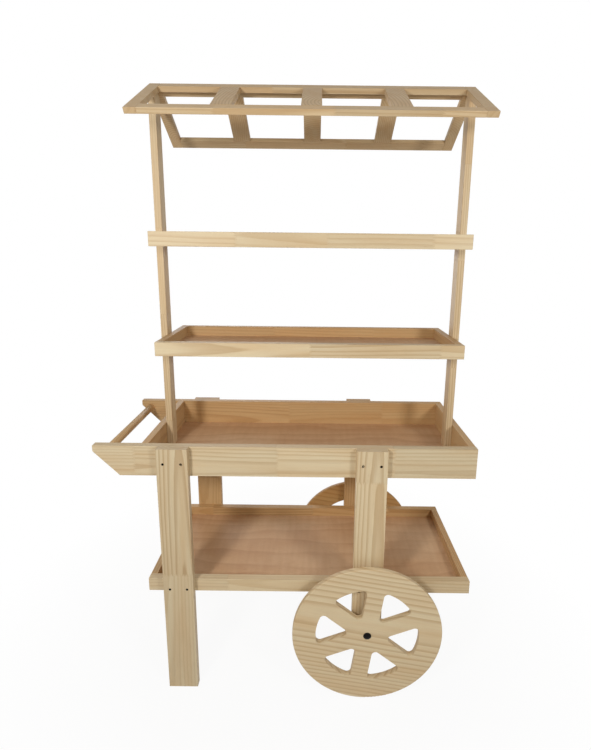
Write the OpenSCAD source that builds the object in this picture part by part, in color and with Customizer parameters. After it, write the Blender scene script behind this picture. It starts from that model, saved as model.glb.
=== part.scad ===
/* [Boards] */
// Thickness of the planed boards used for trays, legs and uprights
board_t = 21; // [16:1:28]
// Width of the wide boards: tray sides and ends
side_h = 94; // [70:1:140]
// Width of the leg boards
leg_w = 92; // [70:1:120]
// Width of the narrow battens: shelf rails, lower tray rails and uprights
batten_w = 42; // [34:1:60]
// Thickness of the plywood floors
floor_t = 9; // [5:1:12]

/* [Main tray] */
// Length over the tray's two end boards
tray_len = 1000; // [800:10:1300]
// Depth over the tray's front and back side boards
tray_depth = 400; // [340:10:600]
// Height of the tray's top edge above the ground
tray_top = 830; // [700:10:950]
// How far the handle arms reach past the tray's left end board
arm_reach = 138; // [130:1:220]
// Height of the upright face left at the tip of each arm
arm_tip_h = 18; // [10:1:22]
// Diameter of the handle dowel
dowel_d = 25; // [18:1:32]
// Distance from the arm tip to the dowel's axis
dowel_inset = 32; // [28:1:50]
// Distance from the tray's top edge down to the dowel's axis
dowel_drop = 27; // [22:1:30]
// Depth of the blind socket that holds each end of the dowel
socket_depth = 12; // [8:1:14]

/* [Legs] */
// Distance from the tray's left end to the middle of the left legs
left_leg_x = 101; // [80:1:200]
// Distance from the tray's left end to the middle of the right legs
right_leg_x = 687; // [620:1:740]
// How far the right legs reach below the axle
leg_below_axle = 45; // [35:1:50]

/* [Lower tray] */
// Length of the lower tray
lower_len = 1008; // [820:2:1300]
// Distance from the main tray's left end to the lower tray's left end
lower_shift = 2; // [0:1:20]
// Height of the lower tray's top edge above the ground
lower_top = 384; // [340:1:500]

/* [Uprights and shelves] */
// Depth of the two shelves
shelf_depth = 284; // [220:2:330]
// Height of the lower shelf's top edge above the ground
shelf1_top = 1130; // [1020:1:1200]
// Height of the upper shelf's top edge above the ground
shelf2_top = 1450; // [1300:1:1520]

/* [Canopy] */
// Height of the ridge above the ground
ridge_top = 1878; // [1780:1:2000]
// Depth of the canopy from the front eave to the back eave, along the upper faces
canopy_depth = 410; // [340:2:500]
// Slope of the canopy in degrees
canopy_slope = 31.3; // [20:0.1:40]
// Thickness of the canopy's battens
canopy_t = 16; // [12:1:21]
// Width of the canopy's rails and end rafters
canopy_w = 33; // [24:1:42]
// Width of the canopy's middle rafters
mid_rafter_w = 55; // [40:1:70]
// Number of middle rafters on each slope
mid_rafter_n = 3; // [1:1:5]

/* [Wheels] */
// Diameter of the wheels
wheel_d = 464; // [400:2:520]
// Thickness of the wheels
wheel_t = 16; // [12:1:24]
// Number of openings in each wheel
wheel_holes = 6; // [4:1:7]
// Width of the spokes between the openings
spoke_w = 52; // [40:1:60]
// Width of the wheel's solid rim
rim_w = 72; // [50:1:80]
// Radius of the corners of the openings
hole_corner_r = 12.5; // [8:0.5:14]
// Rounding of the wheel's outer edges
rim_round = 3; // [1:0.5:5]
// Angle of the first opening above the horizontal, in degrees
hole_turn = -8.5; // [-30:0.5:30]
// Distance between each right leg and its wheel
wheel_gap = 14; // [8:1:18]

/* [Bolts and screws] */
// Diameter of the axle bolt's shank
axle_d = 10; // [8:1:12]
// Radial clearance between the axle bolt and the wheel's bore
axle_fit = 0.05; // [0.02:0.01:0.1]
// Diameter of the axle bolt's domed head
axle_head_d = 25; // [18:1:28]
// Height of the axle bolt's domed head
axle_head_h = 5; // [3:0.5:7]
// Size of the axle nut across its flats
nut_af = 17; // [15:1:19]
// Height of the axle nut
nut_h = 8; // [6:1:10]
// Outer diameter of the washers
washer_d = 24; // [20:1:30]
// Thickness of a washer
washer_t = 2; // [1.5:0.5:3]
// How much smaller every second washer of a stack is
washer_step = 3; // [1:0.5:4]
// Side play between the wheel and the washers beside it
side_play = 0.3; // [0.2:0.1:0.6]
// Diameter of a screw's head
screw_head_d = 8; // [6:0.5:10]
// Diameter of a screw's shank
screw_d = 4; // [3:0.5:5]
// Length of a screw
screw_len = 36; // [28:1:40]
// Distance between the two screws of a pair
screw_pitch = 53; // [40:1:60]
// How deep a screw's head lies below the wood
screw_sink = 0.6; // [0.2:0.1:1]
// Width of the arms of a screw's cross recess
recess_w = 1; // [0.8:0.1:1.4]
// Depth of a screw's cross recess
recess_depth = 1.2; // [0.8:0.1:1.8]
// Radial clearance round bolts, screws and the dowel where they sit in the wood
seat_fit = 0.05; // [0.02:0.01:0.1]

/* [Hidden] */
$fn = 96;
eps = 0.01;

// The origin lies on the ground, under the middle of the cart. +X runs from the handle towards the
// wheels and the front faces -Y.
x_hi = max(tray_len, lower_shift + lower_len);
tray_x0 = -(x_hi - arm_reach) / 2;
tray_x1 = tray_x0 + tray_len;
front_y = -tray_depth / 2;
side_z0 = tray_top - side_h;
inner_depth = tray_depth - 2 * board_t;
tip_x = tray_x0 - arm_reach;
arm_cut = side_h - arm_tip_h;
dowel_x = tip_x + dowel_inset;
dowel_z = tray_top - dowel_drop;
cut_over = 1;

wheel_r = wheel_d / 2;
axle_z = wheel_r;
left_leg_cx = tray_x0 + left_leg_x;
right_leg_cx = tray_x0 + right_leg_x;
right_leg_z0 = axle_z - leg_below_axle;
leg_y0 = front_y - board_t;
wheel_back_y = leg_y0 - wheel_gap;
wheel_front_y = wheel_back_y - wheel_t;

lower_x0 = tray_x0 + lower_shift;
lower_z0 = lower_top - batten_w;

upright_x0 = tray_x0 + board_t;
upright_x1 = tray_x1 - board_t;
upright_z0 = side_z0 + floor_t;
shelf_x0 = upright_x0 + board_t;
shelf_len = upright_x1 - board_t - shelf_x0;

canopy_len = upright_x1 - upright_x0;
slope_len = canopy_depth / 2 / cos(canopy_slope);
under_ridge = ridge_top - canopy_t / cos(canopy_slope);
mid_span = canopy_len - 2 * canopy_w;
mid_gap = (mid_span - mid_rafter_n * mid_rafter_w) / (mid_rafter_n + 1);

hole_out_r = wheel_r - rim_w;
screw_z_tray = tray_top - side_h / 2;
screw_z_lower = lower_top - batten_w / 2;
screw_bore_d = screw_d + 2 * seat_fit;
screw_tip_d = 0.6;
bolt_bore_d = axle_d + 2 * seat_fit;
bolt_end = 2;
screw_head_h = (screw_head_d - screw_d) / 2;

pine = [0.83, 0.73, 0.56];
pine_warm = [0.80, 0.68, 0.50];
pine_pale = [0.86, 0.77, 0.61];
plywood = [0.66, 0.50, 0.37];
black_steel = [0.08, 0.08, 0.08];
grey_steel = [0.55, 0.55, 0.56];

// ---- shared shapes ----

// A plain board between two opposite corners.
module board(x, y, z, size_x, size_y, size_z) {
    translate([x, y, z]) cube([size_x, size_y, size_z]);
}

// What is made for the front is made again for the back.
module at_side(side) {
    if (side == "front") children();
    else mirror([0, 1, 0]) children();
}

// A cylinder along +Y that starts at a given point.
module rod_y(x, y, z, d, len) {
    translate([x, y, z]) rotate([-90, 0, 0]) cylinder(d = d, h = len);
}

// The four screw places of one side: two on each leg, at the height z.
module at_screws(z) {
    for (leg_x = [left_leg_cx, right_leg_cx]) {
        for (dx = [-screw_pitch / 2, screw_pitch / 2]) {
            translate([leg_x + dx, leg_y0, z]) rotate([-90, 0, 0]) children();
        }
    }
}

// The space that a screw takes up, with a little room round it.
module screw_room() {
    room_d = screw_head_d + 4 * seat_fit;
    translate([0, 0, -eps]) cylinder(d = room_d, h = screw_sink + eps);
    translate([0, 0, screw_sink - eps]) cylinder(d1 = room_d, d2 = screw_bore_d, h = screw_head_h);
    cylinder(d = screw_bore_d, h = screw_len + cut_over);
}

// A countersunk wood screw with a cross recess.
module screw() {
    shank_z = screw_sink + screw_head_h;
    difference() {
        union() {
            translate([0, 0, screw_sink]) cylinder(d1 = screw_head_d, d2 = screw_d, h = screw_head_h);
            translate([0, 0, shank_z - eps]) cylinder(d = screw_d, h = screw_len - shank_z - screw_d);
            translate([0, 0, screw_len - screw_d - 2 * eps]) {
                cylinder(d1 = screw_d, d2 = screw_tip_d, h = screw_d);
            }
        }
        for (turn = [0, 90]) rotate([0, 0, turn]) {
            translate([-screw_head_d / 4, -recess_w / 2, screw_sink - eps]) {
                cube([screw_head_d / 2, recess_w, recess_depth]);
            }
        }
    }
}

// ---- main tray ----

module side_board(side) {
    color(pine) at_side(side) difference() {
        translate([0, front_y + board_t, 0]) rotate([90, 0, 0]) linear_extrude(board_t) polygon([
            [tip_x, tray_top],
            [tip_x, tray_top - arm_tip_h],
            [tip_x + arm_cut, side_z0],
            [tray_x1, side_z0],
            [tray_x1, tray_top]
        ]);
        translate([0, front_y + board_t - socket_depth, 0]) {
            rod_y(dowel_x, 0, dowel_z, dowel_d + 4 * seat_fit, socket_depth + cut_over);
        }
        at_screws(screw_z_tray) screw_room();
    }
}

module end_board(x) {
    color(pine_warm) board(x, front_y + board_t, side_z0, board_t, inner_depth, side_h);
}

module tray_floor(x, len, depth, z) {
    color(plywood) board(x, -depth / 2, z, len, depth, floor_t);
}

module handle_dowel() {
    socket_end = front_y + board_t - socket_depth;
    color(pine_warm) rod_y(dowel_x, socket_end, dowel_z, dowel_d, -2 * socket_end);
}

// ---- legs ----

module leg(side, leg_x, z0) {
    color(pine_pale) at_side(side) difference() {
        board(leg_x - leg_w / 2, leg_y0, z0, leg_w, board_t, tray_top - z0);
        at_screws(screw_z_tray) screw_room();
        at_screws(screw_z_lower) screw_room();
        rod_y(right_leg_cx, leg_y0 - cut_over, axle_z, bolt_bore_d, board_t + 2 * cut_over);
    }
}

// ---- lower tray ----

module lower_side_rail(side) {
    color(pine_pale) at_side(side) difference() {
        board(lower_x0, front_y, lower_z0, lower_len, board_t, batten_w);
        at_screws(screw_z_lower) screw_room();
    }
}

module lower_end_rail(x) {
    color(pine_warm) board(x, front_y + board_t, lower_z0, board_t, inner_depth, batten_w);
}

// ---- uprights and shelves ----

module upright(x) {
    half_w = batten_w / 2;
    shoulder_z = under_ridge - half_w * tan(canopy_slope);
    color(pine) translate([x, 0, 0]) rotate([90, 0, 90]) linear_extrude(board_t) polygon([
        [-half_w, upright_z0],
        [half_w, upright_z0],
        [half_w, shoulder_z],
        [0, under_ridge],
        [-half_w, shoulder_z]
    ]);
}

module shelf_side_rail(side, top) {
    color(pine_pale) at_side(side) {
        board(shelf_x0, -shelf_depth / 2, top - batten_w, shelf_len, board_t, batten_w);
    }
}

module shelf_end_rail(x, top) {
    rail_len = shelf_depth - 2 * board_t;
    color(pine) board(x, -rail_len / 2, top - batten_w, board_t, rail_len, batten_w);
}

module shelf_floor(top) {
    tray_floor(shelf_x0 + board_t, shelf_len - 2 * board_t, shelf_depth - 2 * board_t, top - batten_w);
}

// ---- canopy ----

// Places a shape on the front slope: +X runs along the ridge, +Y down the slope from the ridge, and
// the batten's upper face lies at Z = 0.
module on_slope(side) {
    at_side(side) translate([upright_x0, 0, ridge_top]) rotate([canopy_slope, 0, 0]) {
        mirror([0, 1, 0]) children();
    }
}

// A batten that lies in the slope, from a start below the ridge; at the ridge its end is cut upright.
module slope_batten(x, start, len_x, len_down) {
    difference() {
        translate([x, start, -canopy_t]) cube([len_x, len_down, canopy_t]);
        if (start <= 0) {
            translate([x - cut_over, 0, 0]) rotate([canopy_slope, 0, 0]) {
                translate([0, -canopy_t, -2 * canopy_t]) {
                    cube([len_x + 2 * cut_over, canopy_t, 3 * canopy_t]);
                }
            }
        }
    }
}

module eave_rail(side) {
    color(pine_pale) on_slope(side) slope_batten(canopy_w, slope_len - canopy_w, mid_span, canopy_w);
}

module ridge_rail(side) {
    color(pine_warm) on_slope(side) slope_batten(canopy_w, 0, mid_span, canopy_w);
}

module end_rafter(side, x) {
    color(pine) on_slope(side) slope_batten(x, 0, canopy_w, slope_len);
}

module mid_rafters(side) {
    color(pine_pale) on_slope(side) for (i = [1 : mid_rafter_n]) {
        x = canopy_w + i * mid_gap + (i - 1) * mid_rafter_w;
        slope_batten(x, canopy_w, mid_rafter_w, slope_len - 2 * canopy_w);
    }
}

// ---- wheels ----

// A wheel blank with rounded outer edges, its axis along Z and its lower face at Z = 0.
module wheel_blank() {
    rotate_extrude($fn = 180) {
        square([wheel_r - rim_round, wheel_t]);
        translate([0, rim_round]) square([wheel_r, wheel_t - 2 * rim_round]);
        for (z = [rim_round, wheel_t - rim_round]) {
            translate([wheel_r - rim_round, z]) circle(rim_round, $fn = 48);
        }
    }
}

// One three-cornered opening that points along +X: two straight sides that follow the spokes, an
// outer side that follows the rim, and round corners.
module wheel_opening() {
    half_turn = 180 / wheel_holes;
    side_off = spoke_w / 2 + hole_corner_r;
    inner_x = side_off / sin(half_turn);
    out_r = hole_out_r - hole_corner_r;
    out_angle = half_turn - asin(side_off / out_r);
    corner = out_r * [cos(out_angle), sin(out_angle)];
    normal = [-sin(half_turn), cos(half_turn)];
    beyond = 2 * wheel_r * [cos(out_angle), sin(out_angle)];
    cut_len = wheel_t + 2 * cut_over;
    translate([inner_x, 0, 0]) cylinder(r = hole_corner_r, h = cut_len);
    for (half = [-1, 1]) {
        translate([corner[0], half * corner[1], 0]) cylinder(r = hole_corner_r, h = cut_len);
    }
    intersection() {
        cylinder(r = hole_out_r, h = cut_len, $fn = 180);
        linear_extrude(cut_len) polygon([
            [inner_x, 0] + hole_corner_r * [normal[0], -normal[1]],
            [inner_x, 0],
            [inner_x, 0] + hole_corner_r * normal,
            corner + hole_corner_r * normal,
            corner,
            beyond,
            [beyond[0], -beyond[1]],
            [corner[0], -corner[1]],
            [corner[0], -corner[1]] + hole_corner_r * [normal[0], -normal[1]]
        ]);
    }
}

module wheel(side) {
    place = [right_leg_cx, wheel_back_y, axle_z];
    color(pine) at_side(side) translate(place) rotate([90, 0, 0]) difference() {
        wheel_blank();
        translate([0, 0, -cut_over]) cylinder(d = axle_d + 2 * axle_fit, h = wheel_t + 2 * cut_over);
        for (i = [0 : wheel_holes - 1]) rotate([0, 0, hole_turn + i * 360 / wheel_holes]) {
            translate([0, 0, -cut_over]) wheel_opening();
        }
    }
}

// ---- axle bolts, nuts and washers ----

// Each bolt runs from its head on the wheel's outer face, through a washer, to a nut behind the leg.
module axle_bolt(side) {
    head_y = wheel_front_y - side_play;
    dome_r = (axle_head_d * axle_head_d / 4 + axle_head_h * axle_head_h) / (2 * axle_head_h);
    end_y = front_y + washer_t + nut_h + bolt_end;
    color(black_steel) at_side(side) {
        translate([right_leg_cx, head_y, axle_z]) rotate([90, 0, 0]) intersection() {
            translate([0, 0, axle_head_h - dome_r]) sphere(dome_r, $fn = 128);
            cylinder(d = axle_head_d, h = axle_head_h);
        }
        rod_y(right_leg_cx, head_y - eps, axle_z, axle_d, end_y - head_y);
    }
}

// A stack of washers keeps each wheel clear of its leg.
module wheel_spacers() {
    stack = wheel_gap - side_play;
    washer_n = floor(stack / washer_t);
    pitch = stack / washer_n;
    color(grey_steel) for (side = ["front", "back"]) at_side(side) difference() {
        for (i = [0 : washer_n - 1]) {
            own_d = washer_d - washer_step * (i % 2);
            rod_y(right_leg_cx, leg_y0 - (i + 1) * pitch, axle_z, own_d, pitch);
        }
        rod_y(right_leg_cx, leg_y0 - wheel_gap, axle_z, bolt_bore_d, wheel_gap + cut_over);
    }
}

// A washer and a hexagon nut on the inner face of each right leg.
module axle_nuts() {
    color(grey_steel) for (side = ["front", "back"]) at_side(side) difference() {
        union() {
            rod_y(right_leg_cx, front_y, axle_z, washer_d, washer_t);
            translate([right_leg_cx, front_y + washer_t, axle_z]) rotate([-90, 0, 0]) {
                cylinder(d = nut_af / cos(30), h = nut_h, $fn = 6);
            }
        }
        rod_y(right_leg_cx, front_y - cut_over, axle_z, bolt_bore_d, washer_t + nut_h + 2 * cut_over);
    }
}

// ---- screws ----

module screw_set(z) {
    color(black_steel) for (side = ["front", "back"]) at_side(side) at_screws(z) screw();
}

side_board("front");  // front_side_board
side_board("back");  // back_side_board
end_board(tray_x0);  // left_end_board
end_board(tray_x1 - board_t);  // right_end_board
union() {  // main_tray_floor
    tray_floor(tray_x0 + board_t, tray_len - 2 * board_t, inner_depth, side_z0);
}
handle_dowel();
leg("front", left_leg_cx, 0);  // front_left_leg
leg("back", left_leg_cx, 0);  // back_left_leg
leg("front", right_leg_cx, right_leg_z0);  // front_right_leg
leg("back", right_leg_cx, right_leg_z0);  // back_right_leg
lower_side_rail("front");  // lower_front_rail
lower_side_rail("back");  // lower_back_rail
lower_end_rail(lower_x0);  // lower_left_rail
lower_end_rail(lower_x0 + lower_len - board_t);  // lower_right_rail
union() {  // lower_tray_floor
    tray_floor(lower_x0 + board_t, lower_len - 2 * board_t, inner_depth, lower_z0);
}
upright(upright_x0);  // left_upright
upright(upright_x1 - board_t);  // right_upright
shelf_side_rail("front", shelf1_top);  // shelf1_front_rail
shelf_side_rail("back", shelf1_top);  // shelf1_back_rail
shelf_end_rail(shelf_x0, shelf1_top);  // shelf1_left_rail
shelf_end_rail(shelf_x0 + shelf_len - board_t, shelf1_top);  // shelf1_right_rail
shelf_floor(shelf1_top);  // shelf1_floor
shelf_side_rail("front", shelf2_top);  // shelf2_front_rail
shelf_side_rail("back", shelf2_top);  // shelf2_back_rail
shelf_end_rail(shelf_x0, shelf2_top);  // shelf2_left_rail
shelf_end_rail(shelf_x0 + shelf_len - board_t, shelf2_top);  // shelf2_right_rail
shelf_floor(shelf2_top);  // shelf2_floor
eave_rail("front");  // front_eave_rail
eave_rail("back");  // back_eave_rail
ridge_rail("front");  // front_ridge_rail
ridge_rail("back");  // back_ridge_rail
end_rafter("front", 0);  // front_left_rafter
end_rafter("front", canopy_len - canopy_w);  // front_right_rafter
end_rafter("back", 0);  // back_left_rafter
end_rafter("back", canopy_len - canopy_w);  // back_right_rafter
mid_rafters("front");  // front_mid_rafters
mid_rafters("back");  // back_mid_rafters
wheel("front");  // front_wheel
wheel("back");  // back_wheel
axle_bolt("front");  // front_axle_bolt
axle_bolt("back");  // back_axle_bolt
wheel_spacers();
axle_nuts();
screw_set(screw_z_tray);  // tray_screws
screw_set(screw_z_lower);  // lower_tray_screws
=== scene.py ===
"""The looks of a wooden dessert cart: jointed pine boards, plywood floors, steel screws and bolts.

Every length is in metres, in the frame of the CAD model, whose nodes give every place.
"""

import math

import bpy
from mathutils import Matrix, Vector


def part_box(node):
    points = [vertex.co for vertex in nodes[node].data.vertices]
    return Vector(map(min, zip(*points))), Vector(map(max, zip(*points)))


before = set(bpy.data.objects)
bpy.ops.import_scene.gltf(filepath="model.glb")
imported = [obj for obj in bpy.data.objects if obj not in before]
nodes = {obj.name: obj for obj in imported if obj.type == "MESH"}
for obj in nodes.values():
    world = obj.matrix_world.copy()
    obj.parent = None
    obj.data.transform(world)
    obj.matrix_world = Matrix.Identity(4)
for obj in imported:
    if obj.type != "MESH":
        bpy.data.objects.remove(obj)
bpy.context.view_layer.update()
scene = bpy.context.scene

# ---- camera ----

CAMERA_PLACE = Vector((0.0770, -1.3862, 1.4144))
CAMERA_PITCH = 0.19127
CAMERA_ROLL = 0.0109
SENSOR = 36.0
NEAR_CLIP = 0.05
FAR_CLIP = 100
IMAGE_WIDTH = 591
IMAGE_HEIGHT = 750
FOCAL_PIXELS = 433.40
CENTRE_ACROSS = 314.22
CENTRE_DOWN = 329.64


def make_camera():
    """The camera, a little above the tray, tipped down and slightly rolled."""
    data = bpy.data.cameras.new("camera")
    data.sensor_fit = "AUTO"
    data.sensor_width = SENSOR
    data.lens = FOCAL_PIXELS / IMAGE_HEIGHT * SENSOR
    data.shift_x = (IMAGE_WIDTH / 2 - CENTRE_ACROSS) / IMAGE_HEIGHT
    data.shift_y = (CENTRE_DOWN - IMAGE_HEIGHT / 2) / IMAGE_HEIGHT
    data.clip_start = NEAR_CLIP
    data.clip_end = FAR_CLIP
    camera = bpy.data.objects.new("camera", data)
    scene.collection.objects.link(camera)
    tip = Matrix.Rotation(math.pi / 2 - CAMERA_PITCH, 4, "X")
    roll = Matrix.Rotation(CAMERA_ROLL, 4, "Z")
    camera.matrix_world = Matrix.Translation(CAMERA_PLACE) @ tip @ roll
    scene.camera = camera


# ---- node building ----


def srgb(red, green, blue):
    """A colour written as it looks on screen, 0 to 255, as the linear colour that the shader takes."""

    def linear(level):
        level = level / 255
        return level / 12.92 if level <= 0.04045 else ((level + 0.055) / 1.055) ** 2.4

    return (linear(red), linear(green), linear(blue), 1.0)


class Tree:
    """Adds nodes to one node tree. An input is given as a number, a colour or another node's output."""

    def __init__(self, tree):
        self.tree = tree

    def add(self, kind, inputs=None, **settings):
        made = self.tree.nodes.new(kind)
        for name, value in settings.items():
            setattr(made, name, value)
        for key, value in (inputs or {}).items():
            self.feed(made.inputs[key], value)
        return made

    def feed(self, socket, value):
        if isinstance(value, bpy.types.NodeSocket):
            self.tree.links.new(value, socket)
        else:
            socket.default_value = value

    def math(self, operation, *values, clamp=False):
        made = self.add("ShaderNodeMath", operation=operation, use_clamp=clamp)
        for socket, value in zip(made.inputs, values):
            self.feed(socket, value)
        return made.outputs[0]

    def vector(self, x, y, z):
        return self.add("ShaderNodeCombineXYZ", {"X": x, "Y": y, "Z": z}).outputs[0]

    def scaled(self, vector, scale, offset=0.0):
        """A vector stretched by three factors, shifted along every axis by the same offset."""
        if isinstance(offset, bpy.types.NodeSocket):
            shift = offset
        else:
            shift = (offset, offset, offset)
        made = self.add("ShaderNodeVectorMath", operation="MULTIPLY_ADD")
        self.feed(made.inputs[0], vector)
        made.inputs[1].default_value = scale
        self.feed(made.inputs[2], shift)
        return made.outputs[0]

    def noise(self, vector, scale, detail=2.0, roughness=0.5):
        made = self.add(
            "ShaderNodeTexNoise",
            {"Vector": vector, "Scale": scale, "Detail": detail, "Roughness": roughness},
        )
        return made.outputs["Fac"]

    def ramp(self, value, stops, interpolation="LINEAR"):
        made = self.add("ShaderNodeValToRGB", {"Fac": value})
        made.color_ramp.interpolation = interpolation
        elements = made.color_ramp.elements
        while len(elements) < len(stops):
            elements.new(0.5)
        for element, (place, level) in zip(elements, stops):
            element.position = place
            element.color = level if isinstance(level, tuple) else (level, level, level, 1.0)
        return made.outputs["Color"]

    def mix(self, share, first, second, blend="MIX"):
        made = self.add("ShaderNodeMix", data_type="RGBA", blend_type=blend)
        self.feed(made.inputs["Factor"], share)
        self.feed(made.inputs[6], first)
        self.feed(made.inputs[7], second)
        return made.outputs[2]

    def between(self, value, low, high, to_low, to_high):
        made = self.add(
            "ShaderNodeMapRange",
            {"Value": value, "From Min": low, "From Max": high, "To Min": to_low, "To Max": to_high},
        )
        return made.outputs[0]


def new_group(name, inputs, outputs):
    """A node group with these inputs and outputs, each given as a label and a socket type."""
    group = bpy.data.node_groups.new(name, "ShaderNodeTree")
    for label, kind in inputs:
        group.interface.new_socket(label, in_out="INPUT", socket_type=kind)
    for label, kind in outputs:
        group.interface.new_socket(label, in_out="OUTPUT", socket_type=kind)
    tree = Tree(group)
    return group, tree, tree.add("NodeGroupInput").outputs, tree.add("NodeGroupOutput").inputs


# ---- pine ----

RING_WIDTH = 0.0072
FINGER_LENGTH = 0.010
FINGER_PITCH = 0.0045
PIECE_LENGTH = 0.36

# How far a pith lies aside of a board's middle and beneath it, and how much it leans along the board.
PITH_ASIDE = 0.055
PITH_NEAR = -0.035
PITH_FAR = -0.100
PITH_LEAN = 0.055

# How far a ring strays over a board's length, and over a few centimetres.
RING_WANDER = 0.016
RING_RIPPLE = 0.0009

# The ring's dark late wood grows in slowly and ends sharply.
RING_PROFILE = [(0.0, 0.05), (0.42, 0.12), (0.78, 0.85), (0.90, 1.0), (0.97, 0.10)]

# How fast each pattern changes along the grain, across the face and through the thickness, per metre.
WANDER_RATES = (1.3, 9.0, 9.0)
RIPPLE_RATES = (9.0, 110.0, 110.0)
FIBRE_RATES = (14.0, 900.0, 900.0)
STAIN_RATES = (2.4, 26.0, 26.0)
FLECK_RATES = (60.0, 1100.0, 1100.0)

# Half the width of a glue line, as a share of a jointed piece's length.
GLUE_REACH = 0.0016

EARLY_WOOD = srgb(219, 202, 168)
EARLY_WOOD_WARM = srgb(212, 187, 148)
LATE_WOOD = srgb(194, 165, 122)
LATE_WOOD_DARK = srgb(172, 138, 96)
# The warm heartwood colour. On the back and cross boards, back legs and back wheel its raised share is
# partly painted shade.
HEARTWOOD_AND_SHADE = srgb(226, 190, 138)
GLUE = srgb(176, 144, 104)


def pine_group():
    """Pine as a solid: growth rings round a pith outside the board, cut through by its faces.

    Place runs along the grain in x, across the face in y and through the thickness in z. Short lengths
    of different boards are joined end to end by a zigzag of glued fingers, each with rings of its own.
    """
    group, t, given, out = new_group(
        "pine",
        [
            ("Place", "NodeSocketVector"),
            ("Seed", "NodeSocketFloat"),
            ("Jointed", "NodeSocketFloat"),
            ("Heart And Shade", "NodeSocketFloat"),
            ("Ring Width", "NodeSocketFloat"),
        ],
        [("Color", "NodeSocketColor"), ("Roughness", "NodeSocketFloat"), ("Height", "NodeSocketFloat")],
    )
    apart = t.add("ShaderNodeSeparateXYZ", {"Vector": given["Place"]}).outputs
    seed = given["Seed"]

    zigzag = t.math("PINGPONG", apart["Y"], FINGER_PITCH / 2)
    zigzag = t.math("MULTIPLY", zigzag, FINGER_LENGTH / (FINGER_PITCH / 2))
    along = t.math("ADD", apart["X"], t.math("MULTIPLY", zigzag, given["Jointed"]))
    count = t.math("ADD", t.math("DIVIDE", along, PIECE_LENGTH), t.math("MULTIPLY", seed, 7.31))
    count = t.math("MULTIPLY_ADD", count, given["Jointed"], t.math("MULTIPLY", seed, 3.7))
    lengths = t.add("ShaderNodeTexVoronoi", {"W": count, "Scale": 1.0}, voronoi_dimensions="1D")
    glue_line = t.add(
        "ShaderNodeTexVoronoi",
        {"W": count, "Scale": 1.0},
        voronoi_dimensions="1D",
        feature="DISTANCE_TO_EDGE",
    ).outputs["Distance"]
    own = t.add("ShaderNodeSeparateColor", {"Color": lengths.outputs["Color"]}).outputs
    shift = t.math("MULTIPLY_ADD", own["Red"], 9.7, seed)
    shifts = t.vector(shift, shift, shift)

    # The rings wander a little along the board, and their pith lies off to one side of it.
    slow = t.scaled(given["Place"], WANDER_RATES, shifts)
    wander = t.math("SUBTRACT", t.noise(slow, 1.0, 2.0), 0.5)
    lean = t.math("MULTIPLY", t.math("SUBTRACT", own["Blue"], 0.5), PITH_LEAN)
    pith_y = t.between(own["Red"], 0.0, 1.0, -PITH_ASIDE, PITH_ASIDE)
    pith_z = t.between(own["Green"], 0.0, 1.0, PITH_NEAR, PITH_FAR)
    side = t.math("SUBTRACT", apart["Y"], pith_y)
    depth = t.math("SUBTRACT", apart["Z"], pith_z)
    depth = t.math("ADD", depth, t.math("MULTIPLY", along, lean))
    radius = t.math("SQRT", t.math("ADD", t.math("POWER", side, 2.0), t.math("POWER", depth, 2.0)))
    radius = t.math("ADD", radius, t.math("MULTIPLY", wander, RING_WANDER))
    fast = t.scaled(given["Place"], RIPPLE_RATES, shifts)
    radius = t.math("ADD", radius, t.math("MULTIPLY", t.noise(fast, 1.0, 1.0), RING_RIPPLE))
    rate = t.math("DIVIDE", t.between(own["Green"], 0.0, 1.0, 0.7, 1.25), given["Ring Width"])
    ring = t.math("FRACT", t.math("MULTIPLY", radius, rate))
    late = t.ramp(ring, RING_PROFILE, "EASE")

    # Fibres, broad stains and short resin flecks run along the grain.
    fibre = t.noise(t.scaled(given["Place"], FIBRE_RATES, shifts), 1.0, 3.0, 0.6)
    stain = t.noise(t.scaled(given["Place"], STAIN_RATES, shifts), 1.0, 3.0, 0.55)
    fleck = t.noise(t.scaled(given["Place"], FLECK_RATES, shifts), 1.0, 1.0)
    fleck = t.between(fleck, 0.70, 0.80, 0.0, 1.0)

    early = t.mix(t.between(stain, 0.35, 0.70, 0.0, 1.0), EARLY_WOOD, EARLY_WOOD_WARM)
    darker = t.mix(own["Blue"], LATE_WOOD, LATE_WOOD_DARK)
    share = t.math("MULTIPLY", late, t.between(own["Red"], 0.0, 1.0, 0.35, 0.70))
    colour = t.mix(share, early, darker)
    colour = t.mix(t.math("MULTIPLY", fleck, 0.45), colour, LATE_WOOD_DARK)
    own_tone = t.between(own["Green"], 0.0, 1.0, 0.91, 1.05)
    tone = t.math("MULTIPLY", t.between(fibre, 0.25, 0.75, 0.93, 1.05), own_tone)
    grey = t.add("ShaderNodeCombineColor", {"Red": tone, "Green": tone, "Blue": tone}).outputs[0]
    colour = t.mix(1.0, colour, grey, "MULTIPLY")
    # Multiplies in the heartwood colour by its share. On the back and cross boards, back legs and back
    # wheel that share is partly painted shade.
    colour = t.mix(given["Heart And Shade"], colour, HEARTWOOD_AND_SHADE, "MULTIPLY")
    glue = t.math("MULTIPLY", t.between(glue_line, 0.0, GLUE_REACH, 0.75, 0.0), given["Jointed"])
    colour = t.mix(glue, colour, GLUE)
    t.feed(out["Color"], colour)

    rough = t.math("ADD", t.between(late, 0.0, 1.0, 0.56, 0.44), t.between(fibre, 0.3, 0.7, -0.05, 0.05))
    t.feed(out["Roughness"], rough)
    height = t.math("ADD", t.math("MULTIPLY", late, 0.5), t.math("MULTIPLY", fibre, 0.8))
    t.feed(out["Height"], t.math("SUBTRACT", height, t.math("MULTIPLY", glue, 0.6)))
    return group


# ---- plywood ----

PLY_COLOUR = srgb(208, 170, 130)
PLY_DARK = srgb(178, 133, 95)
PLY_PALE = srgb(222, 194, 159)
PLY_PORE = srgb(120, 78, 52)
PLY_LAYERS = 5

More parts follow.
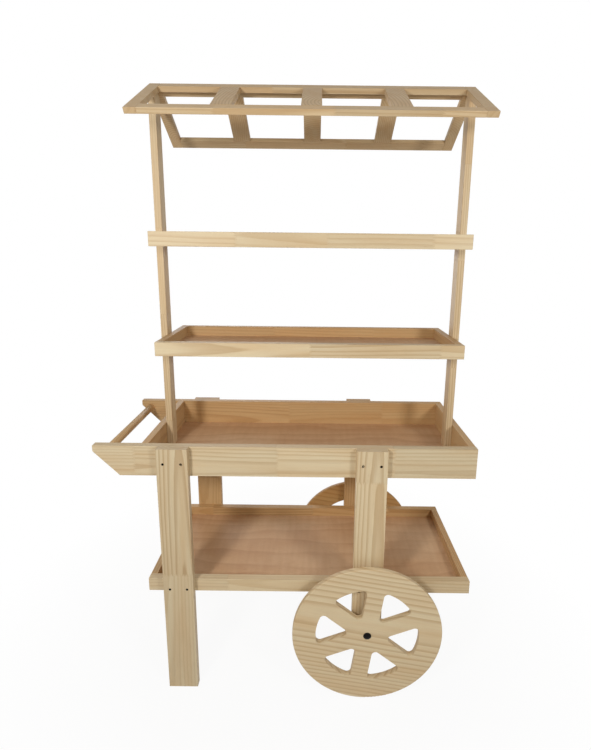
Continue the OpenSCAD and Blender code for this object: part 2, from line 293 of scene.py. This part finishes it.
# Bands of the veneer's figure in a metre across the grain, and how far a band strays.
FIGURE_RATE = 21.0
FIGURE_STRAY = 0.22
FIGURE_PROFILE = [(0.0, 0.15), (0.55, 0.5), (0.85, 0.9), (1.0, 0.15)]
LAYER_PROFILE = [(0.0, 0.0), (0.48, 0.0), (0.52, 1.0), (0.98, 1.0)]

STRAY_RATES = (1.1, 6.0, 6.0)
PORE_RATES = (45.0, 1500.0, 1500.0)
SHIMMER_RATES = (60.0, 8.0, 8.0)
PATCH_RATES = (3.0, 9.0, 9.0)


def plywood_group():
    """A red-brown face veneer with rippled figure, and the bands of the layers on its sawn edges."""
    group, t, given, out = new_group(
        "plywood",
        [("Place", "NodeSocketVector"), ("Seed", "NodeSocketFloat"), ("Thickness", "NodeSocketFloat")],
        [("Color", "NodeSocketColor"), ("Roughness", "NodeSocketFloat"), ("Height", "NodeSocketFloat")],
    )
    seed = given["Seed"]
    shift = t.vector(seed, seed, seed)
    apart = t.add("ShaderNodeSeparateXYZ", {"Vector": given["Place"]}).outputs
    broad = t.noise(t.scaled(given["Place"], STRAY_RATES, shift), 1.0, 3.0, 0.55)
    bent = t.math("MULTIPLY_ADD", broad, FIGURE_STRAY, apart["Y"])
    sheets = t.math("FRACT", t.math("MULTIPLY", bent, FIGURE_RATE))
    figure = t.ramp(sheets, FIGURE_PROFILE, "EASE")
    pores = t.noise(t.scaled(given["Place"], PORE_RATES, shift), 1.0, 2.0, 0.6)
    pore = t.between(pores, 0.58, 0.72, 0.0, 1.0)
    shimmer = t.noise(t.scaled(given["Place"], SHIMMER_RATES, shift), 1.0, 2.0, 0.5)
    patch = t.noise(t.scaled(given["Place"], PATCH_RATES, shift), 1.0, 3.0, 0.5)

    colour = t.mix(t.math("MULTIPLY", figure, 0.55), PLY_COLOUR, PLY_DARK)
    colour = t.mix(t.between(patch, 0.45, 0.75, 0.0, 0.55), colour, PLY_PALE)
    colour = t.mix(t.between(shimmer, 0.35, 0.7, 0.0, 0.22), colour, PLY_DARK)
    colour = t.mix(t.math("MULTIPLY", pore, 0.40), colour, PLY_PORE)

    # On the edges each second layer shows its end grain, darker than its neighbours.
    share = t.math("DIVIDE", apart["Z"], given["Thickness"])
    layer = t.math("FRACT", t.math("MULTIPLY_ADD", share, PLY_LAYERS / 2, PLY_LAYERS / 4))
    band = t.ramp(layer, LAYER_PROFILE)
    normal = t.add("ShaderNodeNewGeometry").outputs["Normal"]
    upright = t.math("ABSOLUTE", t.add("ShaderNodeSeparateXYZ", {"Vector": normal}).outputs["Z"])
    edge = t.between(upright, 0.5, 0.6, 1.0, 0.0)
    colour = t.mix(t.math("MULTIPLY", t.math("MULTIPLY", edge, band), 0.7), colour, PLY_DARK)
    t.feed(out["Color"], colour)
    t.feed(out["Roughness"], t.between(pores, 0.3, 0.7, 0.48, 0.60))
    ripple = t.math("MULTIPLY", shimmer, 0.3)
    t.feed(out["Height"], t.math("SUBTRACT", ripple, t.math("MULTIPLY", pore, 0.8)))
    return group


# ---- materials ----

WOOD_BUMP = 0.5
WOOD_SPECULAR = 0.35
STEEL_BUMP = 0.4
STEEL_BUMP_DEPTH = 0.00008
MOTTLE_RATE = 420.0
SCRATCH_RATES = (2600.0, 300.0, 2600.0)


def board_place(t, centre, axes):
    """Object coordinates turned and shifted into a board's own: x along its grain, from its centre."""
    place = t.add("ShaderNodeTexCoord").outputs["Object"]
    moved = t.add("ShaderNodeVectorMath", operation="SUBTRACT")
    t.feed(moved.inputs[0], place)
    moved.inputs[1].default_value = centre
    parts = []
    for axis in axes:
        dot = t.add("ShaderNodeVectorMath", operation="DOT_PRODUCT")
        t.feed(dot.inputs[0], moved.outputs[0])
        dot.inputs[1].default_value = axis
        parts.append(dot.outputs["Value"])
    return t.vector(*parts)


def wood_material(name, group, centre, axes, settings, bump):
    """One board's material: the shared wood group, laid along this board, with a seed of its own."""
    material = bpy.data.materials.new(name)
    material.use_nodes = True
    tree = material.node_tree
    tree.nodes.clear()
    t = Tree(tree)
    place = board_place(t, centre, axes)
    wood = t.add("ShaderNodeGroup", node_tree=group)
    t.feed(wood.inputs["Place"], place)
    for key, value in settings.items():
        wood.inputs[key].default_value = value
    height = wood.outputs["Height"]
    raised = t.add("ShaderNodeBump", {"Height": height, "Distance": bump, "Strength": WOOD_BUMP})
    shader = t.add(
        "ShaderNodeBsdfPrincipled",
        {
            "Base Color": wood.outputs["Color"],
            "Roughness": wood.outputs["Roughness"],
            "Normal": raised.outputs[0],
            "Specular IOR Level": WOOD_SPECULAR,
        },
    )
    t.add("ShaderNodeOutputMaterial", {"Surface": shader.outputs[0]})
    return material


def steel_material(name, colour, rough, worn):
    """Turned or coated steel: fine scratches, a mottled sheen and paler wear where the noise is high."""
    material = bpy.data.materials.new(name)
    material.use_nodes = True
    tree = material.node_tree
    tree.nodes.clear()
    t = Tree(tree)
    place = t.add("ShaderNodeTexCoord").outputs["Object"]
    mottle = t.noise(place, MOTTLE_RATE, 3.0)
    scratch = t.noise(t.scaled(place, SCRATCH_RATES), 1.0, 2.0)
    shade = t.mix(t.between(mottle, 0.50, 0.72, 0.0, 0.6), colour, worn)
    raised = t.add(
        "ShaderNodeBump",
        {"Height": scratch, "Distance": STEEL_BUMP_DEPTH, "Strength": STEEL_BUMP},
    )
    shader = t.add(
        "ShaderNodeBsdfPrincipled",
        {
            "Base Color": shade,
            "Roughness": t.between(scratch, 0.3, 0.7, rough - 0.06, rough + 0.08),
            "Normal": raised.outputs[0],
            "Metallic": 1.0,
        },
    )
    t.add("ShaderNodeOutputMaterial", {"Surface": shader.outputs[0]})
    return material


def use_material(piece, material):
    """Puts one material in every slot of a piece."""
    piece.data.materials.clear()
    piece.data.materials.append(material)


# Corners closer than this are one corner, and faces that bend less than the first angle are one face.
WELD_DISTANCE = 0.00001
FLAT_ANGLE = math.radians(0.5)
SHARP_ANGLE = math.radians(30)
ARRIS_STEPS = 2


def soften_edges(piece, width):
    """Rounds a CAD node's sharp edges by modifiers, so that its own mesh stays as it is."""
    weld = piece.modifiers.new("weld", "WELD")
    weld.merge_threshold = WELD_DISTANCE
    flat = piece.modifiers.new("flat", "DECIMATE")
    flat.decimate_type = "DISSOLVE"
    flat.angle_limit = FLAT_ANGLE
    bevel = piece.modifiers.new("arris", "BEVEL")
    bevel.width = width
    bevel.segments = ARRIS_STEPS
    bevel.limit_method = "ANGLE"
    bevel.angle_limit = SHARP_ANGLE
    bevel.harden_normals = True


X_AXIS = Vector((1, 0, 0))
Y_AXIS = Vector((0, 1, 0))
Z_AXIS = Vector((0, 0, 1))
ARRIS = 0.0012
PINE_GRAIN_DEPTH = 0.0006
PLY_GRAIN_DEPTH = 0.0003

pine = pine_group()
plywood = plywood_group()
seed_count = 0


def next_seed():
    """A number of its own for each board, so that no two boards look alike."""
    global seed_count
    seed_count += 1
    return 0.37 + 1.618 * seed_count


def make_pine(name, axes, jointed=1.0, heart_and_shade=0.0, arris=ARRIS, rings=RING_WIDTH):
    """Gives a pine node its material, laid along its grain, and rounds its sharp edges."""
    low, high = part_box(name)
    # The heartwood share warms and darkens the colour. On some boards it is partly painted shade.
    settings = {"Seed": next_seed(), "Jointed": jointed, "Heart And Shade": heart_and_shade, "Ring Width": rings}
    centre = (low + high) / 2
    material = wood_material("wood_" + name, pine, centre, axes, settings, PINE_GRAIN_DEPTH)
    use_material(nodes[name], material)
    soften_edges(nodes[name], arris)


def make_plywood(name):
    """Gives a floor its material, with the grain along the cart."""
    low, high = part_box(name)
    centre = (low + high) / 2
    axes = (X_AXIS, Y_AXIS, Z_AXIS)
    settings = {"Seed": next_seed(), "Thickness": high.z - low.z}
    material = wood_material("wood_" + name, plywood, centre, axes, settings, PLY_GRAIN_DEPTH)
    use_material(nodes[name], material)


LONG_BOARDS = (
    "front_side_board back_side_board lower_front_rail lower_back_rail "
    "shelf1_front_rail shelf1_back_rail shelf2_front_rail shelf2_back_rail"
).split()
CROSS_BOARDS = (
    "left_end_board right_end_board lower_left_rail lower_right_rail "
    "shelf1_left_rail shelf1_right_rail shelf2_left_rail shelf2_right_rail"
).split()
LEGS = "front_left_leg back_left_leg front_right_leg back_right_leg".split()
UPRIGHTS = "left_upright right_upright".split()
FLOORS = "main_tray_floor lower_tray_floor shelf1_floor shelf2_floor".split()

# How much each group of boards has of the warm heartwood colour. For the back boards, back legs and
# cross boards this share is partly painted shade, and for the back wheel almost all of it is: a darker,
# warmer brown where they sit out of the lamps' light.
BACK_HEART_AND_SHADE = 0.7
BACK_LEG_HEART_AND_SHADE = 0.65
CROSS_HEART = 0.6
UPRIGHT_HEART = 0.15
RAIL_HEART = 0.3
RAFTER_HEART = 0.35
BACK_WHEEL_HEART_AND_SHADE = 0.9

make_camera()
# Back boards, back legs and cross boards get a larger heartwood share. Part of it is painted shade for
# their faces that lie out of the lamps' light.
for name in LONG_BOARDS:
    make_pine(name, (X_AXIS, Z_AXIS, Y_AXIS), heart_and_shade=BACK_HEART_AND_SHADE if "back" in name else 0.0)
for name in CROSS_BOARDS:
    make_pine(name, (Y_AXIS, Z_AXIS, X_AXIS), heart_and_shade=CROSS_HEART)
for name in LEGS:
    make_pine(name, (Z_AXIS, X_AXIS, Y_AXIS), heart_and_shade=BACK_LEG_HEART_AND_SHADE if "back" in name else 0.0)
for name in UPRIGHTS:
    make_pine(name, (Z_AXIS, Y_AXIS, X_AXIS), heart_and_shade=UPRIGHT_HEART)
for name in FLOORS:
    make_plywood(name)
make_pine("handle_dowel", (Y_AXIS, Z_AXIS, X_AXIS), 0.0, CROSS_HEART)

# The canopy's battens lie in its two slopes: down the slope, and square to it.
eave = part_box("front_eave_rail")
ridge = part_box("front_ridge_rail")
fall = (ridge[1].z - eave[1].z) / (eave[0].y - ridge[0].y)
slope = math.atan(fall)
for side, sign in (("front", -1), ("back", 1)):
    down = Vector((0, sign * math.cos(slope), -math.sin(slope)))
    outward = Vector((0, sign * math.sin(slope), math.cos(slope)))
    for kind in ("eave_rail", "ridge_rail"):
        make_pine(side + "_" + kind, (X_AXIS, down, outward), heart_and_shade=RAIL_HEART)
    for kind in ("left_rafter", "right_rafter", "mid_rafters"):
        make_pine(side + "_" + kind, (down, X_AXIS, outward), 0.0, RAFTER_HEART)

# Each wheel is cut from one glued panel whose grain runs a little off level.
GRAIN_TILT = math.radians(10)
WHEEL_ARRIS = 0.0025
WHEEL_RINGS = 0.016
# The back wheel's large heartwood share is painted shade: a darker brown for the wheel that sits in the
# tray's shadow.
for name, heart_and_shade in (("front_wheel", 0.0), ("back_wheel", BACK_WHEEL_HEART_AND_SHADE)):
    grain = Vector((math.cos(GRAIN_TILT), 0, -math.sin(GRAIN_TILT)))
    across = Vector((math.sin(GRAIN_TILT), 0, math.cos(GRAIN_TILT)))
    make_pine(name, (grain, across, Y_AXIS), 0.0, heart_and_shade, WHEEL_ARRIS, WHEEL_RINGS)

black = steel_material("black_steel", srgb(24, 22, 22), 0.50, srgb(46, 43, 41))
grey = steel_material("grey_steel", srgb(168, 168, 170), 0.32, srgb(206, 205, 202))
for name in ("front_axle_bolt", "back_axle_bolt", "tray_screws", "lower_tray_screws"):
    use_material(nodes[name], black)
for name in ("wheel_spacers", "axle_nuts"):
    use_material(nodes[name], grey)

# ---- floor and lights ----

BACKGROUND = (1.0, 1.0, 1.0, 1.0)
FLOOR_GREY = (0.80, 0.80, 0.80, 1.0)
FLOOR_REACH = 30.0

# The floor's own shade shows at this share near the cart, and fades to plain white further out.
WHITE_NEAR = 0.93
FADE_START = 0.5
FADE_END = 1.2

ROOM_GLOW = (1.0, 0.93, 0.80, 1.0)
ROOM_GLOW_STRENGTH = 0.28
LAMP_TARGET = Vector((0, 0, 0.9))


def make_floor():
    """A wide white floor that keeps the cart's shadow and is white to the camera elsewhere."""
    mesh = bpy.data.meshes.new("floor")
    turns = ((-1, -1), (1, -1), (1, 1), (-1, 1))
    corners = [(x * FLOOR_REACH, y * FLOOR_REACH, 0) for x, y in turns]
    mesh.from_pydata(corners, [], [(0, 1, 2, 3)])
    floor = bpy.data.objects.new("floor", mesh)
    scene.collection.objects.link(floor)
    material = bpy.data.materials.new("floor")
    material.use_nodes = True
    material.node_tree.nodes.clear()
    t = Tree(material.node_tree)
    paper = t.add("ShaderNodeBsdfDiffuse", {"Color": FLOOR_GREY})
    white = t.add("ShaderNodeEmission", {"Color": BACKGROUND, "Strength": 1.0})
    seen = t.add("ShaderNodeLightPath").outputs
    share = t.math("MAXIMUM", seen["Is Camera Ray"], seen["Is Glossy Ray"])
    place = t.add("ShaderNodeTexCoord").outputs["Object"]
    away = t.add("ShaderNodeVectorMath", {0: place}, operation="LENGTH").outputs["Value"]
    fade = t.between(away, FADE_START, FADE_END, WHITE_NEAR, 1.0)
    mixed = t.add("ShaderNodeMixShader", {"Fac": t.math("MULTIPLY", share, fade)})
    t.feed(mixed.inputs[1], paper.outputs[0])
    t.feed(mixed.inputs[2], white.outputs[0])
    t.add("ShaderNodeOutputMaterial", {"Surface": mixed.outputs[0]})
    mesh.materials.append(material)


def make_world():
    """A soft warm surround that looks white to the camera."""
    world = bpy.data.worlds.new("studio")
    scene.world = world
    world.use_nodes = True
    world.node_tree.nodes.clear()
    t = Tree(world.node_tree)
    seen = t.add("ShaderNodeLightPath").outputs
    share = t.math("MAXIMUM", seen["Is Camera Ray"], seen["Is Glossy Ray"])
    glow = t.add("ShaderNodeBackground", {"Color": ROOM_GLOW, "Strength": ROOM_GLOW_STRENGTH})
    white = t.add("ShaderNodeBackground", {"Color": BACKGROUND, "Strength": 1.0})
    mixed = t.add("ShaderNodeMixShader", {"Fac": share})
    t.feed(mixed.inputs[1], glow.outputs[0])
    t.feed(mixed.inputs[2], white.outputs[0])
    t.add("ShaderNodeOutputWorld", {"Surface": mixed.outputs[0]})


def make_lamp(name, place, size, power):
    """A round lamp that faces the middle of the cart."""
    place = Vector(place)
    data = bpy.data.lights.new(name, "AREA")
    data.shape = "DISK"
    data.size = size
    data.energy = power
    lamp = bpy.data.objects.new(name, data)
    lamp.location = place
    lamp.rotation_euler = (LAMP_TARGET - place).to_track_quat("-Z", "Y").to_euler()
    scene.collection.objects.link(lamp)


make_floor()
make_world()
make_lamp("left_lamp", (-0.85, -1.65, 1.66), size=0.30, power=18.0)
make_lamp("right_lamp", (1.35, -1.60, 1.66), size=0.40, power=14.0)
make_lamp("back_lamp", (-0.60, 2.40, 1.30), size=1.60, power=16.0)
scene.view_settings.view_transform = "Standard"
